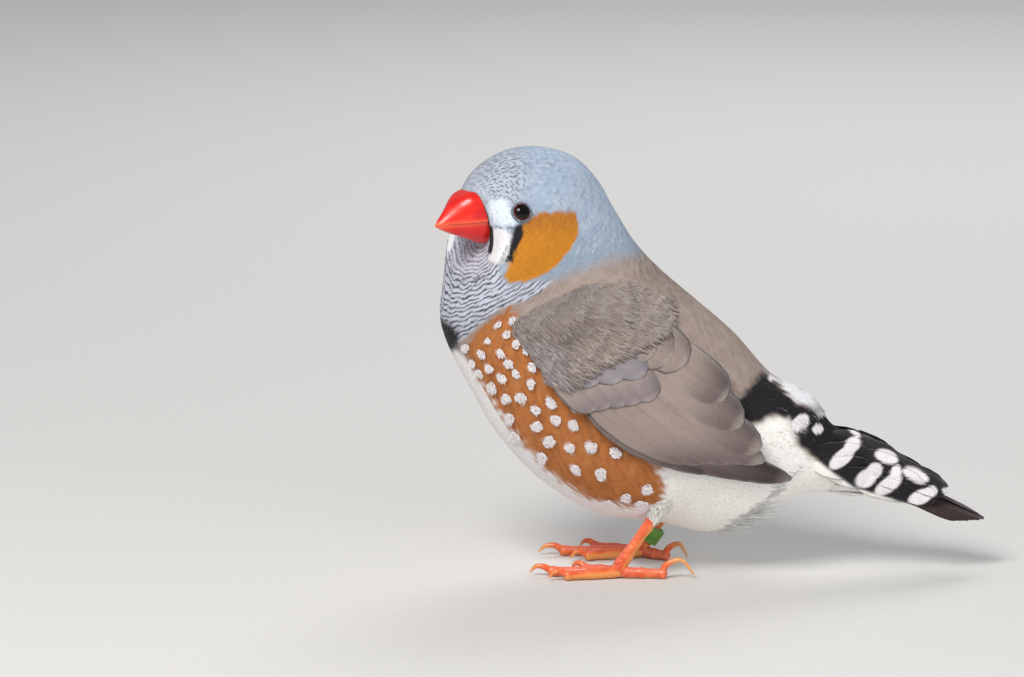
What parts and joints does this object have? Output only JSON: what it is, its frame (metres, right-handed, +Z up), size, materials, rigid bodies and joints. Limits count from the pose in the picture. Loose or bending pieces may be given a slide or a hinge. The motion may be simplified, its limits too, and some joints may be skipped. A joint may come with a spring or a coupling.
{
  "type": "zebra finch",
  "caption": "Life-size still model of an adult male zebra finch, standing with its head turned to its left and a plain ring on its right leg.",
  "frame": {"origin": "middle of the model's box at the level of the soles", "axes": "+Z up, the bird's body faces -X, its left side is -Y and its tail points to +X"},
  "size_m": [0.092, 0.0374, 0.0719],
  "materials": {
    "plumage": "soft, matt body feathers",
    "flight_feathers": "smooth, slightly sheeny vanes",
    "bill": "waxy gloss horn",
    "eye": "wet gloss",
    "leg_skin": "scaled skin with a slight sheen",
    "band_plastic": "satin"
  },
  "bodies": {
    "root": {"head": "plumage", "bill_upper": "bill", "bill_lower": "bill", "eye_left": "eye", "eye_right": "eye", "neck": "plumage", "torso": "plumage", "rump": "plumage", "tail": "flight_feathers", "wing_left": "flight_feathers", "wing_right": "flight_feathers", "thigh_left": "plumage", "leg_left": "leg_skin", "thigh_right": "plumage", "leg_right": "leg_skin", "leg_band": "band_plastic"}
  },
  "joints": []
}
